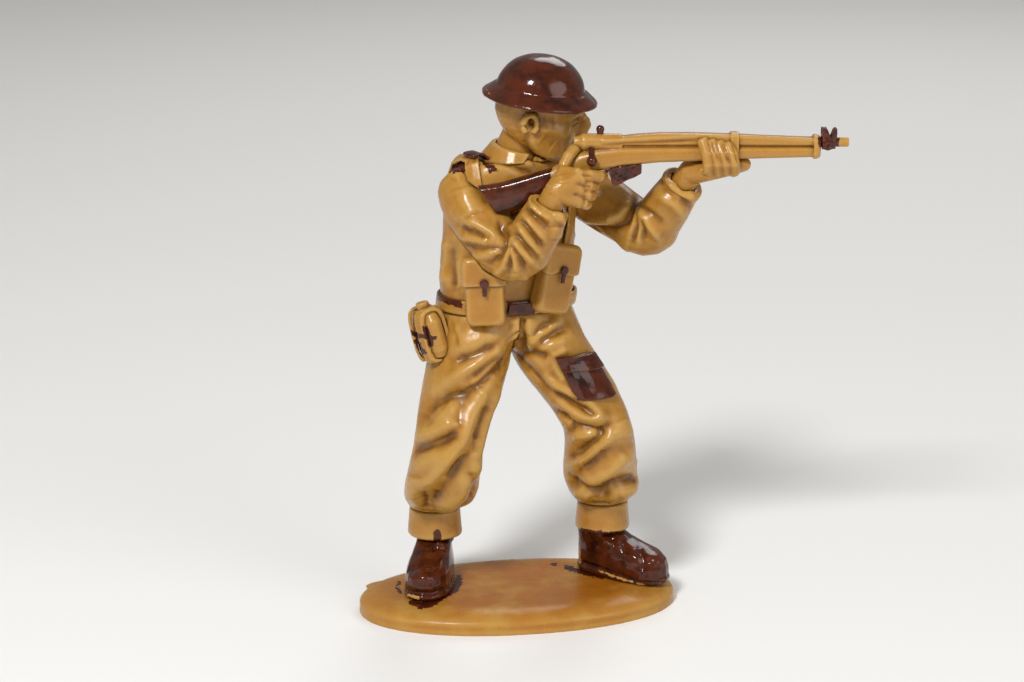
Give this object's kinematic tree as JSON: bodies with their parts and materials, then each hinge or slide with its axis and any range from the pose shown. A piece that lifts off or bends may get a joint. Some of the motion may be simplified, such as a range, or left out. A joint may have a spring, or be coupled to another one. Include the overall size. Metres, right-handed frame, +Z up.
{
  "type": "toy soldier figure",
  "caption": "Moulded toy rifleman standing on an oval base, aiming a bolt-action rifle, with brimmed helmet, webbing, pouches and hand-painted details.",
  "frame": {"origin": "on the base's flat underside, close to its centre, between the feet", "axes": "+Z up through the figure, +X along the rifle towards its muzzle, -Y the side that the picture sees, where the bolt handle and the right boot's toe are"},
  "size_m": [0.0456, 0.019, 0.0543],
  "materials": {
    "tan_plastic": "semi-gloss moulded soft plastic, warm mustard tan, darker in its hollows",
    "brown_paint": "gloss dark red-brown enamel brushed by hand, thin on raised edges"
  },
  "bodies": {
    "root": {"base": "tan_plastic", "right_boot": "brown_paint", "left_boot": "brown_paint", "right_anklet": "tan_plastic", "left_anklet": "tan_plastic", "right_trouser_leg": "tan_plastic", "left_trouser_leg": "tan_plastic", "map_pocket": "brown_paint", "map_pocket_flap": "brown_paint", "blouse": "tan_plastic", "collar": "tan_plastic", "right_epaulette": "brown_paint", "left_epaulette": "tan_plastic", "right_sleeve": "tan_plastic", "left_sleeve": "tan_plastic", "right_hand": "tan_plastic", "left_hand": "tan_plastic", "head": "tan_plastic", "helmet": "brown_paint", "rifle_stock": "tan_plastic", "handguard": "tan_plastic", "middle_band": "tan_plastic", "nose_cap": "tan_plastic", "muzzle": "tan_plastic", "receiver": "tan_plastic", "bolt_handle": "brown_paint", "rear_sight": "brown_paint", "front_sight": "brown_paint", "magazine": "brown_paint", "trigger_guard": "tan_plastic", "waist_belt": "brown_paint", "belt_buckle": "brown_paint", "shoulder_straps": "tan_plastic", "right_pouch": "tan_plastic", "left_pouch": "tan_plastic", "right_pouch_flap": "tan_plastic", "left_pouch_flap": "tan_plastic", "pouch_studs": "brown_paint", "water_bottle": "tan_plastic", "bottle_cap": "tan_plastic", "bottle_straps": "brown_paint", "bayonet_scabbard": "tan_plastic", "bayonet_grip": "tan_plastic", "scabbard_frog": "tan_plastic"}
  },
  "joints": []
}
